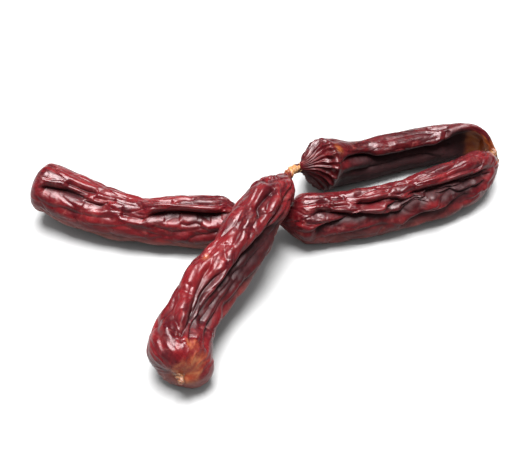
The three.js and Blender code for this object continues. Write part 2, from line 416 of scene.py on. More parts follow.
NEAR_FOLDS = [
    ([(61, 37), (67, 30), (74, 32), (82, 38), (90, 41), (100, 46), (109, 50), (114, 54)],
     [1.8, 3.6, 4.4, 5.2, 5.4, 4.8, 3.4, 1.6], 2.1, -0.6, 0.7),
    ([(38, 26), (45, 34), (53, 32), (61, 42)], 3.4, 1.6, -0.6, 0.5),
    ([(51, 58), (59, 52), (67, 48), (71, 46)], 3.8, 1.6, -0.5, 0.6),
    ([(73, 60), (77, 58), (81, 64), (89, 68)], 4.4, 1.7, -0.5, 0.6),
    ([(34, 66), (42, 70), (49, 78), (58, 82), (66, 70), (74, 66)], 5.0, 1.9, -0.7, 0.7),
    ([(17, 46), (23, 44), (32, 54), (39, 70)], 3.4, 1.5, -0.6, 0.5),
    ([(19, 108), (21, 84), (29, 76), (38, 74), (43, 74)], 4.0, 1.8, -0.6, 0.6),
    ([(22, 104), (28, 108), (35, 104), (44, 96), (54, 100)], 2.2, 1.5, -0.3, 0.4),
    ([(26, -2), (30, 2), (35, 0)], 1.1, 1.1, 0.0, 0.3),
    ([(25, 18), (31, 22), (36, 24)], 1.1, 1.1, 0.0, 0.3),
    ([(20, 20), (23, 10), (24, 22)], 1.0, 1.0, 0.0, 0.3),
    ([(18, 30), (22, 34), (27, 32)], 1.2, 1.1, 0.0, 0.3),
    ([(72, 40), (79, 50), (87, 56), (95, 60), (102, 64)], 3.8, 1.5, -0.4, 0.5),
    ([(59, 110), (69, 98), (79, 98), (89, 88), (98, 88)], 3.8, 1.6, -0.4, 0.5),
    ([(58, 66), (66, 60), (74, 52), (80, 44)], 2.6, 1.2, -0.4, 0.5),
    ([(78, 76), (86, 72), (93, 74), (101, 76), (108, 72)], 3.0, 1.3, -0.4, 0.6),
    ([(92, 50), (98, 56), (106, 60), (112, 66)], 2.2, 1.1, -0.3, 0.4),
    ([(70, -10), (80, -4), (90, -8), (100, -2)], 1.5, 1.2, 0.0, 0.4),
    ([(84, 14), (92, 12), (100, 18), (108, 22)], 1.6, 1.2, 0.0, 0.4),
    ([(76, -24), (88, -30), (98, -26)], 1.3, 1.2, 0.0, 0.3),
    ([(38, 2), (42, 0), (46, 6), (51, 4), (58, 0)], 1.0, 1.2, 0.0, 0.3),
    ([(49, -20), (55, -14), (62, -14), (69, -12)], 1.0, 1.2, 0.0, 0.2),
]
FAR_FOLDS = [
    ([(16, 52), (24, 46), (31, 44), (37, 52), (41, 66), (51, 72), (68, 70), (78, 70)],
     [1.8, 3.8, 5.4, 5.8, 5.8, 5.6, 5.2, 3.8], [1.5, 2.0, 2.4, 2.4, 2.6, 2.6, 2.6, 3.0], -0.7, 0.5),
    ([(19, 76), (30, 76), (39, 88), (48, 94), (65, 90), (77, 94)], 1.9, 1.6, 0.0, 0.3),
    ([(17, 22), (24, 24), (32, 22)], 0.7, 1.2, 0.0, 0.2),
    ([(51, 40), (56, 42), (60, 52)], 0.8, 1.4, 0.0, 0.3),
    ([(72, -14), (80, 0), (85, -2)], 0.9, 1.2, 0.0, 0.3),
    ([(83, 12), (81, 34), (79, 54)], 1.0, 1.4, 0.0, 0.4),
    ([(45, 6), (57, 4), (68, 4), (77, 12)], 0.6, 1.6, 0.0, 0.2),
]
# The cave under the far link's right end: its line, and its depths and half widths along it
FAR_HOLLOW = (
    [(72, 68), (80, 69), (88, 74), (96, 82), (103, 86), (108, 88)],
    [2.5, 4.6, 4.8, 3.6, 2.2, 0.6],
    [2.0, 4.0, 6.0, 7.5, 7.0, 5.0],
)

# Swellings and, where the height is negative, hollows: (mm along, degrees round, half length,
# half width, height in mm)
FRONT_SWELLS = [
    (14, 15, 9, 12, -1.8),
    (66, 80, 12, 9, -1.4),
    (108, 75, 10, 10, 1.6),
    (121, 100, 6, 8, -2.2),
    (120, -125, 8, 9, 2.8),
    (50, -116, 16, 6.5, 3.4),
    (72, -108, 14, 6.5, 2.6),
    (95, -95, 12, 7, 1.3),
    (42, -4, 6, 4.5, 1.3),
    (51, -25, 7, 4.5, 1.5),
    (28, 4, 6, 5, 1.4),
    (32, -43, 7, 3, 1.3),
    (66, -18, 8, 2.8, 1.2),
    (84, -22, 8, 2.6, 1.1),
    (97, 3, 8, 5, 1.3),
    (80, 14, 8, 3.5, 1.0),
    (110, 30, 10, 8, 1.2),
]
LEFT_SWELLS = [
    (22, 75, 14, 8, 0.8),
    (45, 80, 16, 7, 0.7),
    (80, 22, 20, 4, 1.0),
    (82, 80, 12, 5, 0.9),
    (40, 10, 10, 5, 0.8),
    (12, 10, 8, 7, 0.7),
    (20, 122, 16, 8, 1.2),
    (58, 122, 32, 8, 1.8),
    (92, 122, 16, 8, 1.6),
]
NEAR_SWELLS = [
    (24, 60, 6, 5, 0.8),
    (16, 85, 4, 8, 0.8),
    (48, 55, 10, 3, 0.9),
    (68, 58, 10, 3, 0.8),
    (90, 20, 14, 6, 0.9),
    (88, 54, 12, 3, 0.9),
    (55, 10, 12, 6, 0.7),
    (90, -24, 20, 9, 2.2),
    (108, -14, 9, 8, 1.4),
    (38, 118, 26, 8, 1.8),
    (82, 118, 28, 8, 1.8),
]
FAR_SWELLS = [
    (50, 92, 32, 6, -1.8),
    (13, 30, 3, 14, 0.8),
    (13, 95, 3, 12, 0.8),
    (50, 10, 20, 7, 0.5),
    (85, 30, 10, 6, 0.8),
]


def hidden_folds(seed, length, angles, count):
    """Long wandering folds for the side that no named fold is on."""
    rng = np.random.RandomState(seed)
    folds = []
    for k in range(count):
        size = rng.uniform(22, 60)
        start = rng.uniform(8, length - size - 6)
        middle = angles[0] + (angles[1] - angles[0]) * (k + rng.uniform(0.15, 0.85)) / count
        points = []
        drift = 0.0
        for q in np.linspace(0, 1, 6):
            points.append((start + q * size, middle + drift))
            drift += rng.normal() * 5
        depth = rng.uniform(1.4, 4.2)
        folds.append((points, depth, 1.1 + 0.28 * depth, rng.uniform(-0.4, 0.4), 0.12 * depth))
    return folds


def swells(grid, places):
    """Height in mm from a list of swellings."""
    height = np.zeros(grid["s"].shape)
    for s, phi, half_length, half_width, rise in places:
        arc = turned_from(grid, phi) * math.pi / 180 * FOLD_RADIUS
        d = ((grid["s"] - s) / half_length) ** 2 + (arc / half_width) ** 2
        height += rise * np.exp(-(d**1.3))
    return height


def hollow(grid, points, depth, width):
    """Depth in mm of a wide, flat-floored hollow along a line of points."""
    d, place = fold_distance(grid, points)
    deep = spread(depth, place, 1.0)
    wide = spread(width, place, 1.0)
    return deep * np.exp(-((np.abs(d) / wide) ** 3.2))


# ---------------------------------------------------------------------------------------------
# Meshes
# ---------------------------------------------------------------------------------------------


def make_mesh(name, rows, values):
    """One smooth closed mesh from rows of points in mm, with values stored at its points. A fan
    round one more point closes it at each end."""
    count, sides = rows.shape[:2]
    points = np.vstack([rows.reshape(-1, 3), rows[0].mean(axis=0), rows[-1].mean(axis=0)])
    ring = np.arange(sides)
    after = (ring + 1) % sides
    row = np.arange(count - 1)[:, None] * sides
    quads = np.stack([row + ring, row + after, row + sides + after, row + sides + ring], axis=-1)
    start_tip = np.full(sides, count * sides)
    start_fan = np.stack([start_tip, after, ring], axis=-1)
    last_row = (count - 1) * sides
    end_fan = np.stack([start_tip + 1, last_row + ring, last_row + after], axis=-1)
    loops = np.concatenate([quads.ravel(), start_fan.ravel(), end_fan.ravel()])
    sizes = np.concatenate([np.full(quads.size // 4, 4), np.full(2 * sides, 3)])
    starts = np.concatenate([[0], np.cumsum(sizes)[:-1]])
    mesh = bpy.data.meshes.new(name)
    mesh.vertices.add(len(points))
    mesh.vertices.foreach_set("co", (points * MM).astype(np.float32).ravel())
    mesh.loops.add(len(loops))
    mesh.loops.foreach_set("vertex_index", loops.astype(np.int32))
    mesh.polygons.add(len(sizes))
    mesh.polygons.foreach_set("loop_start", starts.astype(np.int32))
    mesh.polygons.foreach_set("use_smooth", np.ones(len(sizes), bool))
    mesh.update(calc_edges=True)
    mesh.validate()
    for key, value in values.items():
        value = value.reshape(count, sides, -1)
        flat = value.reshape(count * sides, -1)
        flat = np.vstack([flat, value[0].mean(axis=0), value[-1].mean(axis=0)])
        if flat.shape[1] == 3:
            layer = mesh.attributes.new(key, "FLOAT_VECTOR", "POINT")
            layer.data.foreach_set("vector", flat.astype(np.float32).ravel())
        else:
            layer = mesh.attributes.new(key, "FLOAT", "POINT")
            layer.data.foreach_set("value", flat.astype(np.float32).ravel())
    return mesh


def add_piece(name, mesh, material, node):
    piece = bpy.data.objects.new(name, mesh)
    bpy.context.scene.collection.objects.link(piece)
    mesh.materials.append(material)
    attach(piece, "root")
    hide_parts(node)


DEEPEST = 0.55  # no fold goes deeper than this share of the link's radius
FULL_CREASE = 4.0  # mm; a crease this deep gets the full painted shade


def link_mesh(name, link, folds, seed, style):
    """One link: its plain surface, raised and sunk by lumps, a crumpled net and its folds."""
    grid = sweep(link, LINK_ROWS, LINK_COLUMNS)
    s, length, radius = grid["s"], grid["length"], grid["radius"]
    from_start, from_end = s, length - s
    p = grid["straight"]
    warp = np.stack([stretched(p, 14, 9, seed + k) for k in (1, 2, 3)], axis=-1)
    q = p + warp * np.array([3.0, 1.6, 1.6])
    room = np.clip(radius / 10.5, 0, 1) ** 1.3

    # The free relief fades beside the named folds, and where the style calms it.
    named = np.zeros(s.shape)
    for fold in folds:
        d, _ = fold_distance(grid, fold[0])
        named = np.maximum(named, np.exp(-((d / 5.0) ** 2)))
    free = 1 - 0.6 * named
    if "calm_from" in style:
        free *= 1 - 0.85 * smoothstep(style["calm_from"], style["calm_from"] + 10, s)

    lumps = stretched(p, 26, 13, seed + 11) * style["lumps"]
    big = (puffs(q, style["reach"], 9.0, seed + 21) - 0.75) * style["big"] * free
    patchy = 0.6 + 0.8 * np.clip(stretched(p, 20, 12, seed + 41), -0.6, 0.6)
    net_long, net_wide, net_size, fine_size = style["net"]
    net = (crumple(q, net_long, net_wide, seed + 91) - 0.6) * net_size
    fine_net = (crumple(q + warp * 1.5, net_long * 0.4, net_wide * 0.45, seed + 95) - 0.6) * fine_size
    crumpled = (net + fine_net * np.clip(patchy, 0.2, 1.3)) * (0.45 + 0.55 * free)
    medium = (puffs(q, 13, 5.0, seed + 31) - 0.6) * style["medium"] * (0.5 + 0.5 * free)
    small = (puffs(q, 4.6, 2.8, seed + 51) - 0.5) * style["small"] * patchy
    grain = stretched(p, 1.6, 1.1, seed + 61) * 0.015

    fold_height, lean, crease = add_folds(grid, folds + style["hidden"])
    height = lumps + big + crumpled + medium + small + fold_height * room - style["shrink"]
    if "hollow" in style:
        cave = hollow(grid, *style["hollow"])
        height -= cave
        lean -= 0.45 * cave
        # Painted shade in the cave, carried by its crease value
        crease += 0.25 * cave * smoothstep(97, 86, s)
    for distance, gather in ((from_start, link["gather_start"]), (from_end, link["gather_end"])):
        height *= 0.12 + 0.88 * smoothstep(0.45, 1.2, distance / gather[0])
    height += swells(grid, style["swells"])
    height += pleats(grid, from_start, link["gather_start"], *style["pleats"][0], seed + 71)
    height += pleats(grid, from_end, link["gather_end"], *style["pleats"][1], seed + 81)
    height += grain
    height = np.maximum(height, -DEEPEST * radius)
    height = np.where(height > 1.0, 1.0 + np.tanh((height - 1.0) / 2.0) * 2.0, height)

    points = grid["surface"] + grid["normal"] * height[..., None]
    points += grid["around"] * (lean * room)[..., None]
    noses = style["noses"]
    for last, distance, nose in ((False, from_start, noses[0]), (True, from_end, noses[1])):
        _, facing = link_end(link, last)
        points += facing * (nose * np.exp(-((distance / 3.0) ** 2)))[..., None]
    points[..., 2] = soft_floor(points[..., 2])

    # The undersides and the deepest folds are dull, and so is a shaded flank.
    dry = 0.4 * smoothstep(85, 125, np.abs(grid["phi"]))
    dry = np.maximum(dry, 0.9 * smoothstep(3.4, 6.0, crease))
    if "shade" in style:
        shade = style["shade"](grid)
        dry = np.maximum(dry, shade)
        # Painted shade on the shaded flank, carried by the crease value
        crease += FULL_CREASE * shade
    # Painted shade in the small creases of the puffs and the crumpled net, carried by the crease
    # value
    small_creases = np.clip(-(big + crumpled + medium) * 0.2, 0, 0.4)
    values = {
        "straight": grid["straight"],
        "crease": np.clip(crease / FULL_CREASE + small_creases, 0, 1),
        "amber": style["amber"](grid),
        "dry": np.clip(dry, 0, 1),
        # The lower edges, where a painted reflection of the pale table lightens them
        "rim": style["rim"] * smoothstep(92, 122, np.abs(grid["phi"])),
    }
    return make_mesh(name, points, values)


def soft_spot(grid, s, phi, size, sharp=2.0):
    """1 at a spot on a link, falling to 0 about `size` mm away."""
    arc = turned_from(grid, phi) * math.pi / 180 * np.minimum(grid["radius"], FOLD_RADIUS)
    d = np.hypot(grid["s"] - s, arc)
    return np.exp(-((d / size) ** sharp))


# Where the skin of each link is amber, from 0 to 1: at its gathered ends and in a few patches


def front_amber(grid):
    end = grid["length"] - grid["s"]
    root = 0.8 * np.exp(-((grid["s"] / 4.0) ** 2))
    patch = 0.72 * soft_spot(grid, 114.5, -32, 5.0, 3.0)
    patch = np.maximum(patch, 0.72 * soft_spot(grid, 120, -50, 6.0, 3.0))
    tip = 0.95 * np.exp(-(((grid["radius"] - NECK_RADIUS) / 5.0) ** 2)) * smoothstep(12, 8, end)
    spot = 0.7 * soft_spot(grid, 70, 18, 3.5) + 0.35 * soft_spot(grid, 37, -42, 5.0)
    return np.clip(root + patch + tip + spot, 0, 1)


def left_amber(grid):
    end = grid["length"] - grid["s"]
    return np.clip(
        0.6 * np.exp(-(((grid["radius"] - NECK_RADIUS) / 3.0) ** 2)) * smoothstep(12, 8, grid["s"])
        + 0.7 * np.exp(-((end / 4.0) ** 2))
        + 0.25 * soft_spot(grid, 79, 66, 9.0),
        0,
        1,
    )


def near_amber(grid):
    end = grid["length"] - grid["s"]
    return np.clip(
        0.6 * np.exp(-((grid["s"] / 4.0) ** 2))
        + 0.75 * np.exp(-((end / 7.0) ** 2))
        + 0.22 * soft_spot(grid, 55, -4, 16.0),
        0,
        1,
    )


def far_amber(grid):
    end = grid["length"] - grid["s"]
    inside = smoothstep(88, 99, grid["s"]) * smoothstep(25, 45, grid["phi"])
    inside *= smoothstep(170, 140, grid["phi"])
    return np.clip(
        0.5 * np.exp(-((grid["s"] / 1.6) ** 2))
        + 0.75 * soft_spot(grid, 17, 18, 4.0)
        + 1.0 * inside
        + 0.8 * np.exp(-((end / 4.0) ** 2)),
        0,
        1,
    )


def far_shade(grid):
    """Where painted shade darkens the far link's hollow flank, which is also dull, most of all under
    its cave's lip.
    """
    flank = smoothstep(14, 21, grid["s"]) * smoothstep(98, 88, grid["s"])
    flank *= np.exp(-(((grid["phi"] - 102) / 42) ** 4))
    return 0.95 * flank + 0.9 * soft_spot(grid, 88, 68, 9.0, 3.0)


def rope_mesh(name, path, radius_at, lobes, turns, seed, depth=0.3):
    """Casing wound on itself along a path. radius_at takes 0 at the start to 1 at the end."""
    t = np.linspace(0, 1, ROPE_ROWS)
    fine = catmull_rom(path, np.linspace(0, 1, 800))
    run = np.concatenate([[0], np.cumsum(np.linalg.norm(np.diff(fine, axis=0), axis=1))])
    centre = np.stack([np.interp(t * run[-1], run, fine[:, k]) for k in range(3)], axis=-1)
    tangent = unit(np.gradient(centre, axis=0))
    upright = np.array([0.05, 0.02, 1.0])
    top = unit(upright - tangent * (tangent @ upright)[:, None])
    side = np.cross(tangent, top)
    phi = np.linspace(0, 2 * np.pi, ROPE_COLUMNS, endpoint=False)[None, :]
    wound = phi + 2 * np.pi * turns * t[:, None]
    strand = np.abs(np.cos(lobes * wound / 2)) ** 0.7
    thin = np.abs(np.cos(lobes * 2.5 * wound / 2 + 1.0)) ** 0.8
    local = np.stack(
        np.broadcast_arrays(t[:, None] * run[-1] * 0.5, np.cos(wound) * 1.2, np.sin(wound) * 1.2),
        axis=-1,
    )
    rough = noise(local * 0.9 + seed, seed) * 0.16 + noise(local * 2.3 + seed, seed + 1) * 0.07
    radius = radius_at(t)[:, None] * (
        1 + depth * (strand - 0.62) + 0.3 * depth * (thin - 0.6) + rough
    )
    rings = (
        centre[:, None]
        + top[:, None] * (radius * np.cos(phi))[..., None]
        + side[:, None] * (radius * np.sin(phi))[..., None]
    )
    straight = np.stack(
        np.broadcast_arrays(t[:, None] * run[-1], radius * np.sin(wound), radius * np.cos(wound)),
        axis=-1,
    )
    values = {
        "straight": straight,
        # Painted shade in the grooves between the strands
        "crease": np.clip(1.1 - strand * 1.4, 0, 1) + 0 * radius,
        "root": np.minimum(t, 1 - t)[:, None] * run[-1] + 0 * radius,
    }
    return make_mesh(name, rings, values)


def link_end(link, last):
    """The middle of a link's end in mm, and the direction that it faces."""
    route = np.array(link["route"], float)[:, :3] + ROUTE_SHIFT
    t = np.array([1.0, 0.999]) if last else np.array([0.0, 0.001])
    at = catmull_rom(route, t)
    return at[0], unit(at[0] - at[1])


BURY = 1.6  # how far inside a link's end a twist starts


def twist_path(start, end, reach):
    """The middle line of a twist, out of one link's end and into another's."""
    (a, a_dir), (b, b_dir) = start, end
    return np.array([a - a_dir * BURY, a + a_dir * reach, b + b_dir * reach, b - b_dir * BURY])


FLAP_TOP = np.array([120.55, 45.0, 12.8]) + ROUTE_SHIFT
FLAP_LENGTH = 10.2
FLAP_HALF_WIDTH = 1.75
FLAP_HALF_SKIN = 0.16


def flap_mesh(name):
    """A loose scrap of dry casing: a thin crumpled strip that hangs from the right twist."""
    t = np.linspace(0, 1, 60)[:, None]
    phi = np.linspace(0, 2 * np.pi, 48, endpoint=False)[None, :]
    wide = FLAP_HALF_WIDTH * (0.35 + 0.9 * np.sin(np.pi * np.clip(t * 0.86 + 0.1, 0, 1)) ** 0.8)
    wide *= 1 - 0.55 * smoothstep(0.8, 1.0, t)
    across = np.cos(phi) * wide
    skin = FLAP_HALF_SKIN * np.sign(np.sin(phi)) * np.abs(np.sin(phi)) ** 0.6
    local = np.stack(np.broadcast_arrays(t * 5.0, across * 0.9, 0 * across), axis=-1)
    wave = noise(local * 0.55 + 3.3, 901) * 1.1 + noise(local * 1.5 + 5.1, 902) * 0.35
    wave *= smoothstep(0, 0.3, t)
    ragged = noise(local * 1.7 + 9.7, 903) * 0.5 * smoothstep(0.7, 1.0, t)
    x = FLAP_TOP[0] + 1.0 * np.sin(t * 2.2) + skin + wave
    y = FLAP_TOP[1] + across - 0.6 * t
    z = FLAP_TOP[2] - FLAP_LENGTH * t + ragged
    rings = np.stack(np.broadcast_arrays(x, y, z), axis=-1)
    values = {
        "straight": np.stack(np.broadcast_arrays(t * FLAP_LENGTH, across, skin), axis=-1),
        "crease": 0 * rings[..., 0],
        "root": t * FLAP_LENGTH + 0 * across,
    }
    return make_mesh(name, rings, values)


# ---------------------------------------------------------------------------------------------
# Materials
# ---------------------------------------------------------------------------------------------


class Graph:
    """Short calls for building the node graph of a material or a world. Noise and cells that read
    the "straight" coordinates are in millimetres; bump distances are in metres."""

    def __init__(self, owner):
        self.owner = owner
        owner.use_nodes = True
        self.tree = owner.node_tree

    def node(self, kind, **settings):
        made = self.tree.nodes.new(kind)
        for key, value in settings.items():
            setattr(made, key, value)
        return made

    def wire(self, value, socket):
        if isinstance(value, bpy.types.NodeSocket):
            self.tree.links.new(value, socket)
        else:
            socket.default_value = value

    def attribute(self, name):
        return self.node("ShaderNodeAttribute", attribute_name=name)

    def scaled(self, vector, by):
        made = self.node("ShaderNodeVectorMath", operation="MULTIPLY")
        self.wire(vector, made.inputs[0])
        made.inputs[1].default_value = by
        return made.outputs[0]

    def noise(self, vector, scale, detail=3.0, rough=0.55, distortion=0.0):
        made = self.node("ShaderNodeTexNoise")
        self.wire(vector, made.inputs["Vector"])
        made.inputs["Scale"].default_value = scale
        made.inputs["Detail"].default_value = detail
        made.inputs["Roughness"].default_value = rough
        made.inputs["Distortion"].default_value = distortion
        return made.outputs["Fac"]

    def cells(self, vector, scale):
        made = self.node("ShaderNodeTexVoronoi", feature="F1")
        self.wire(vector, made.inputs["Vector"])
        made.inputs["Scale"].default_value = scale
        return made.outputs["Distance"]

    def math(self, operation, a, b):
        made = self.node("ShaderNodeMath", operation=operation)
        self.wire(a, made.inputs[0])
        self.wire(b, made.inputs[1])
        return made.outputs[0]

    def span(self, value, low, high, to_low=0.0, to_high=1.0, curve="SMOOTHSTEP"):
        made = self.node("ShaderNodeMapRange", interpolation_type=curve)
        self.wire(value, made.inputs["Value"])
        made.inputs["From Min"].default_value = low
        made.inputs["From Max"].default_value = high
        made.inputs["To Min"].default_value = to_low
        made.inputs["To Max"].default_value = to_high
        return made.outputs["Result"]

    def mix(self, amount, a, b):
        made = self.node("ShaderNodeMix", data_type="RGBA")
        self.wire(amount, made.inputs[0])
        self.wire(a, made.inputs[6])
        self.wire(b, made.inputs[7])
        return made.outputs[2]

    def bump(self, height, strength, distance, normal=None):
        made = self.node("ShaderNodeBump")
        self.wire(height, made.inputs["Height"])
        made.inputs["Strength"].default_value = strength
        made.inputs["Distance"].default_value = distance
        if normal is not None:
            self.wire(normal, made.inputs["Normal"])
        return made.outputs["Normal"]

    def finish(self, colour, roughness, normal):
        """Wires a material's shader, and gives the shader's other inputs to be set."""
        inputs = self.tree.nodes["Principled BSDF"].inputs
        self.wire(colour, inputs["Base Color"])
        self.wire(roughness, inputs["Roughness"])
        self.wire(normal, inputs["Normal"])
        return inputs


def rgb(red, green, blue):
    return (red, green, blue, 1.0)


FAT = rgb(0.125, 0.036, 0.032)
# A painted reflection of the pale table, for the lower edges of the links
PAINTED_TABLE_REFLECTION = rgb(0.165, 0.058, 0.044)
FLECK = rgb(0.150, 0.058, 0.043)
# The colour of the painted shade in creases, in the far link's cave and on its shaded flank
CREASE_PAINTED_SHADE = rgb(0.006, 0.0005, 0.0010)


def sausage_material(name, offset, palette):
    """Dried meat seen through a thin, tight, slightly greasy casing, with painted shade darkening its
    creases and a painted reflection of the pale table on its lower edges. The offset in mm gives each
    link its own pattern."""
    deep, mid, bright, rust, straw = palette
    g = Graph(bpy.data.materials.new(name))
    moved = g.node("ShaderNodeVectorMath", operation="ADD")
    g.wire(g.attribute("straight").outputs["Vector"], moved.inputs[0])
    moved.inputs[1].default_value = (offset, offset * 0.7, offset * 0.3)
    place = moved.outputs[0]
    long_way = g.scaled(place, (0.35, 1.0, 1.0))
    crease = g.attribute("crease").outputs["Fac"]
    amber = g.attribute("amber").outputs["Fac"]

    patches = g.noise(g.scaled(place, (0.5, 1.0, 1.0)), 0.11, 3.0, 0.55, 0.4)
    streaks = g.noise(long_way, 0.35, 3.0, 0.55, 0.6)
    mottle = g.noise(place, 0.9, 3.0, 0.6)
    colour = g.mix(g.span(patches, 0.35, 0.65), deep, mid)
    colour = g.mix(g.math("MULTIPLY", g.span(streaks, 0.45, 0.75), 0.5), colour, bright)
    colour = g.mix(g.math("MULTIPLY", g.span(mottle, 0.45, 0.8), 0.2), colour, bright)
    fat = g.math("MULTIPLY", g.span(g.noise(place, 0.3, 4.0, 0.65, 0.3), 0.55, 0.74), 0.45)
    colour = g.mix(fat, colour, FAT)
    # Painted reflection of the pale table, lightening the lower edges in streaks
    rim = g.math("MULTIPLY", g.attribute("rim").outputs["Fac"], g.span(streaks, 0.3, 0.7, 0.4, 0.8))
    colour = g.mix(rim, colour, PAINTED_TABLE_REFLECTION)
    speck = g.math("MULTIPLY", g.span(g.cells(place, 0.6), 0.2, 0.08), 0.14)
    speck = g.math("MULTIPLY", speck, g.span(patches, 0.45, 0.6))
    colour = g.mix(speck, colour, FLECK)

    ragged = g.math("ADD", amber, g.math("MULTIPLY", g.math("SUBTRACT", streaks, 0.5), 0.7))
    orange = g.mix(g.span(streaks, 0.4, 0.7), rust, straw)
    colour = g.mix(g.span(ragged, 0.35, 0.95, 0.0, 0.92), colour, orange)
    # Painted shade: creases, the cave and the far link's shaded flank are darkened towards near
    # black.
    shade = g.span(crease, 0.35, 0.95, 0.0, 0.82)
    colour = g.mix(shade, colour, CREASE_PAINTED_SHADE)

    grease = g.noise(place, 0.2, 3.0, 0.6)
    roughness = g.span(grease, 0.35, 0.65, 0.24, 0.37)
    dry = g.attribute("dry").outputs["Fac"]
    roughness = g.math("ADD", roughness, g.math("MULTIPLY", crease, 0.15))
    roughness = g.math("ADD", roughness, g.math("MULTIPLY", dry, 0.35))

    skin = g.noise(long_way, 1.1, 3.0, 0.55, 0.3)
    pores = g.noise(place, 4.0, 2.0, 0.6)
    normal = g.bump(skin, 0.5, 0.00024)
    normal = g.bump(pores, 0.25, 0.00004, normal)
    inputs = g.finish(colour, roughness, normal)
    inputs["IOR"].default_value = 1.46
    inputs["Specular IOR Level"].default_value = 0.28
    inputs["Specular Tint"].default_value = rgb(1.0, 0.84, 0.85)
    inputs["Subsurface Weight"].default_value = 0.12
    inputs["Subsurface Radius"].default_value = (1.0, 0.25, 0.12)
    inputs["Subsurface Scale"].default_value = 0.0012
    return g.owner


def casing_material(name, pale, warm, dark, edge_mm):
    """Dry natural casing on its own: amber, lit a little from within, redder near the meat, with
    painted shade in the grooves between its strands.
    """
    g = Graph(bpy.data.materials.new(name))
    place = g.attribute("straight").outputs["Vector"]
    crease = g.attribute("crease").outputs["Fac"]
    root = g.attribute("root").outputs["Fac"]
    cloud = g.noise(place, 0.8, 4.0, 0.6, 0.5)
    thread = g.noise(g.scaled(place, (0.5, 2.0, 2.0)), 1.6, 3.0, 0.6)
    colour = g.mix(g.span(cloud, 0.38, 0.66), warm, pale)
    colour = g.mix(g.math("MULTIPLY", g.span(thread, 0.45, 0.7), 0.5), colour, pale)
    near_meat = g.span(g.math("ADD", root, g.math("MULTIPLY", cloud, 2.0)), edge_mm, 1.0)
    colour = g.mix(g.math("MULTIPLY", near_meat, 0.85), colour, dark)
    # Painted shade in the grooves between the strands
    colour = g.mix(g.math("MULTIPLY", crease, 0.6), colour, dark)
    roughness = g.span(cloud, 0.3, 0.7, 0.28, 0.46)
    normal = g.bump(thread, 0.6, 0.0004)
    normal = g.bump(g.noise(place, 4.0, 2.0, 0.6), 0.3, 0.00015, normal)
    inputs = g.finish(colour, roughness, normal)
    inputs["IOR"].default_value = 1.5
    inputs["Specular IOR Level"].default_value = 0.3
    inputs["Subsurface Weight"].default_value = 0.35
    inputs["Subsurface Radius"].default_value = (1.0, 0.5, 0.2)
    inputs["Subsurface Scale"].default_value = 0.0015
    return g.owner


def floor_material():
    """A plain pale table top with a faint grain."""
    g = Graph(bpy.data.materials.new("white_table"))
    place = g.node("ShaderNodeTexCoord").outputs["Object"]
    grain = g.noise(place, 120.0, 3.0, 0.5)
    colour = g.mix(grain, rgb(0.185, 0.185, 0.185), rgb(0.20, 0.20, 0.20))
    g.finish(colour, g.span(grain, 0.3, 0.7, 0.6, 0.7), g.bump(grain, 0.05, 0.0001))
    return g.owner


# ---------------------------------------------------------------------------------------------
# The pieces
# ---------------------------------------------------------------------------------------------

RUST = rgb(0.105, 0.017, 0.008)
STRAW = rgb(0.155, 0.052, 0.021)

# Deep, middle and bright meat, then the rust and straw of the amber places
WINE_RED = (
    rgb(0.023, 0.0009, 0.0022), rgb(0.062, 0.0028, 0.0042), rgb(0.118, 0.0070, 0.0080), RUST, STRAW
)
DARK_RED = (
    rgb(0.022, 0.0008, 0.0019), rgb(0.048, 0.0019, 0.0032), rgb(0.098, 0.0050, 0.0060), RUST, STRAW
)
DARKEST_RED = (
    rgb(0.016, 0.0007, 0.0015),
    rgb(0.036, 0.0014, 0.0026),
    rgb(0.068, 0.0036, 0.0042),
    rgb(0.085, 0.016, 0.0035),
    rgb(0.130, 0.037, 0.008),
)

# Each link's style. In mm: the size of its lumps and of its big, medium and small puffs, the reach
# of a big puff, how much it has shrunk, and how far its two noses stand out. Its net is the cells'
# length and width, then their size and the fine cells' size. An end's pleats are count, size and
# wander. "rim" is how much a painted reflection of the pale table lightens its lower edges, and
# "calm_from" is where its free relief fades out. Hidden folds take a seed, the link's length, a range
# of angles and a count.
STYLES = {
    "front": {
        "meat": sausage_material("dried_meat_front", 3.0, WINE_RED),
        "lumps": 0.9, "big": 1.5, "reach": 20, "medium": 0.3, "small": 0.10, "shrink": 0.3,
        "net": (15, 8.5, 1.5, 0.22),
        "calm_from": 92,
        "pleats": ((13, 0.9, 1.0), (19, 0.5, 0.6)),
        "noses": (1.5, 0.0),
        "swells": FRONT_SWELLS,
        "hidden": hidden_folds(5, 122.8, (60, 255), 7),
        "rim": 0.55,
        "amber": front_amber,
    },
    "left": {
        "meat": sausage_material("dried_meat_left", 41.0, WINE_RED),
        "lumps": 0.7, "big": 1.0, "reach": 30, "medium": 0.3, "small": 0.10, "shrink": 0.25,
        "net": (22, 6.5, 1.0, 0.25),
        "pleats": ((9, 0.35, 1.0), (15, 0.8, 1.0)),
        "noses": (0.0, 1.0),
        "swells": LEFT_SWELLS,
        "hidden": hidden_folds(6, 108.7, (110, 325), 8),
        "rim": 0.9,
        "amber": left_amber,
    },
    "near": {
        "meat": sausage_material("dried_meat_near", 83.0, DARK_RED),
        "lumps": 0.7, "big": 1.0, "reach": 30, "medium": 0.5, "small": 0.14, "shrink": 0.25,
        "net": (20, 5.8, 1.4, 0.4),
        "pleats": ((15, 0.5, 1.0), (12, 0.5, 1.0)),
        "noses": (1.0, 2.4),
        "swells": NEAR_SWELLS,
        "hidden": hidden_folds(7, 122.5, (125, 320), 8),
        "rim": 0.25,
        "amber": near_amber,
    },
    "far": {
        "meat": sausage_material("dried_meat_far", 127.0, DARKEST_RED),
        "lumps": 0.5, "big": 0.6, "reach": 34, "medium": 0.25, "small": 0.08, "shrink": 0.2,
        "net": (24, 7.5, 0.35, 0.08),
        "pleats": ((21, 2.0, 0.35), (12, 0.4, 1.0)),
        "noses": (5.5, 2.4),
        "swells": FAR_SWELLS,
        "hidden": hidden_folds(8, 107.5, (150, 330), 6),
        "hollow": FAR_HOLLOW,
        "rim": 0.0,
        "amber": far_amber,
        "shade": far_shade,
    },
}
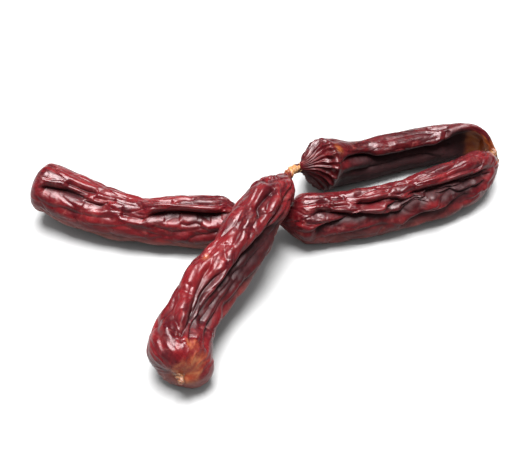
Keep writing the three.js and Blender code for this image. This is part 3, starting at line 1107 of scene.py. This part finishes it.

# Pale, warm and dark casing, and how far in mm the dark of the meat reaches along it. The dark is
# also the painted shade in the grooves of a twist.
casing = casing_material(
    "twisted_casing", rgb(0.26, 0.145, 0.062), rgb(0.18, 0.072, 0.0175), rgb(0.10, 0.019, 0.005), 3.4
)
strap_casing = casing_material(
    "right_casing_strap",
    rgb(0.12, 0.055, 0.021),
    rgb(0.082, 0.025, 0.0076),
    rgb(0.05, 0.009, 0.003),
    2.5,
)
tail_casing = casing_material(
    "front_casing_pucker",
    rgb(0.135, 0.072, 0.038),
    rgb(0.105, 0.040, 0.019),
    rgb(0.085, 0.018, 0.010),
    1.6,
)
dry_casing = casing_material(
    "dry_casing_scrap", rgb(0.25, 0.23, 0.18), rgb(0.20, 0.165, 0.115), rgb(0.13, 0.072, 0.032), 1.5
)

for title, link, folds, seed, node in (
    ("front", FRONT, FRONT_FOLDS, 100, "link_front"),
    ("left", LEFT, LEFT_FOLDS, 200, "link_left"),
    ("near", NEAR, NEAR_FOLDS, 300, "link_right_near"),
    ("far", FAR, FAR_FOLDS, 400, "link_right_far"),
):
    skin = link_mesh(title + "_sausage", link, folds, seed, STYLES[title])
    add_piece(title + "_sausage", skin, STYLES[title]["meat"], node)


def even_rope(t):
    """A twist's radius in mm: even, and a little thicker where it enters the links."""
    ends = np.exp(-((t / 0.13) ** 2)) + np.exp(-(((1 - t) / 0.13) ** 2))
    return 1.95 + 0.35 * ends


for title, start, end, reach, turns, seed, material in (
    ("front_twist", link_end(FRONT, False), link_end(FAR, False), 3.5, 1.5, 500, casing),
    ("middle_twist", link_end(LEFT, True), link_end(NEAR, False), 2.5, 1.25, 510, casing),
    ("right_twist", link_end(NEAR, True), link_end(FAR, True), 2.2, 1.0, 520, strap_casing),
):
    rope = rope_mesh(title + "_casing", twist_path(start, end, reach), even_rope, 3, turns, seed)
    add_piece(title + "_casing", rope, material, "twist_" + title.split("_")[0])


def tail_taper(t):
    """The tail's radius in mm, from the link's pucker to its tip."""
    return 2.6 - 1.5 * smoothstep(0.0, 0.55, t) - 0.9 * smoothstep(0.85, 1.0, t)


tail_at, tail_way = link_end(FRONT, True)
tail_path = np.array([
    tail_at - tail_way * 1.2,
    tail_at + tail_way * 0.8,
    tail_at + tail_way * 2.4 + np.array([0.3, 0, 0.3]),
    tail_at + tail_way * 4.2 + np.array([0.7, 0, 0.2]),
])
tail = rope_mesh("front_casing_tail", tail_path, tail_taper, 4, 0.8, 530, 0.4)
add_piece("front_casing_tail", tail, tail_casing, "casing_tail")
flap = flap_mesh("right_casing_flap")
add_piece("right_casing_flap", flap, dry_casing, "casing_flap")


# ---------------------------------------------------------------------------------------------
# Table, light and camera
# ---------------------------------------------------------------------------------------------

TABLE_HALF = 3.0  # metres
corners = [(-1, -1), (1, -1), (1, 1), (-1, 1)]
table = bpy.data.meshes.new("table_top")
table.from_pydata([(x * TABLE_HALF, y * TABLE_HALF, 0) for x, y in corners], [], [(0, 1, 2, 3)])
table.materials.append(floor_material())
table_top = bpy.data.objects.new("table_top", table)
bpy.context.scene.collection.objects.link(table_top)

SUN_ENERGY = 16.0
SUN_SPREAD = math.radians(36)
SUN_TILT = (math.radians(-8), math.radians(-2), 0)
lamp = bpy.data.lights.new("overhead_softbox", "SUN")
lamp.energy = SUN_ENERGY
lamp.angle = SUN_SPREAD
lamp_object = bpy.data.objects.new("overhead_softbox", lamp)
lamp_object.rotation_euler = SUN_TILT
bpy.context.scene.collection.objects.link(lamp_object)

# The sky is plain white to the camera. As a light it is brighter straight above than at the sides,
# and it is dimmed in reflections, so that the sausage's gloss comes mostly from the lamp.
SIDE_LIGHT = 1.2
TOP_LIGHT = 1.6
REFLECTED_SHARE = 0.12
WHITE = (1.0, 1.0, 1.0, 1.0)
sky = Graph(bpy.data.worlds.new("pale_studio"))
ray = sky.node("ShaderNodeLightPath")
split = sky.node("ShaderNodeSeparateXYZ")
sky.wire(sky.node("ShaderNodeTexCoord").outputs["Generated"], split.inputs[0])
light = sky.span(split.outputs["Z"], 0.5, 1.0, SIDE_LIGHT, TOP_LIGHT, "LINEAR")
share = sky.span(ray.outputs["Is Glossy Ray"], 0.0, 1.0, 1.0, REFLECTED_SHARE, "LINEAR")
background = sky.tree.nodes["Background"]
background.inputs["Color"].default_value = WHITE
sky.wire(sky.math("MULTIPLY", light, share), background.inputs["Strength"])
plain = sky.node("ShaderNodeBackground")
plain.inputs["Color"].default_value = WHITE
plain.inputs["Strength"].default_value = 1.0
choose = sky.node("ShaderNodeMixShader")
sky.wire(ray.outputs["Is Camera Ray"], choose.inputs[0])
sky.wire(background.outputs[0], choose.inputs[1])
sky.wire(plain.outputs[0], choose.inputs[2])
sky.wire(choose.outputs[0], sky.tree.nodes["World Output"].inputs["Surface"])
bpy.context.scene.world = sky.owner
bpy.context.scene.view_settings.view_transform = "Standard"

IMAGE_WIDTH = 523  # pixels
FOCAL_LENGTH = 900  # pixels
SENSOR_WIDTH = 36  # millimetres
CAMERA_DISTANCE = 0.439  # metres
CAMERA_ELEVATION = math.radians(46)
camera_data = bpy.data.cameras.new("camera")
camera_data.sensor_width = SENSOR_WIDTH
camera_data.lens = FOCAL_LENGTH * SENSOR_WIDTH / IMAGE_WIDTH
camera_data.clip_start = 0.01
camera = bpy.data.objects.new("camera", camera_data)
target = Vector(ROUTE_SHIFT * MM)
away = Vector((0, -math.cos(CAMERA_ELEVATION), math.sin(CAMERA_ELEVATION)))
camera.location = target + away * CAMERA_DISTANCE
camera.rotation_euler = (math.radians(90) - CAMERA_ELEVATION, 0, 0)
bpy.context.scene.collection.objects.link(camera)
bpy.context.scene.camera = camera
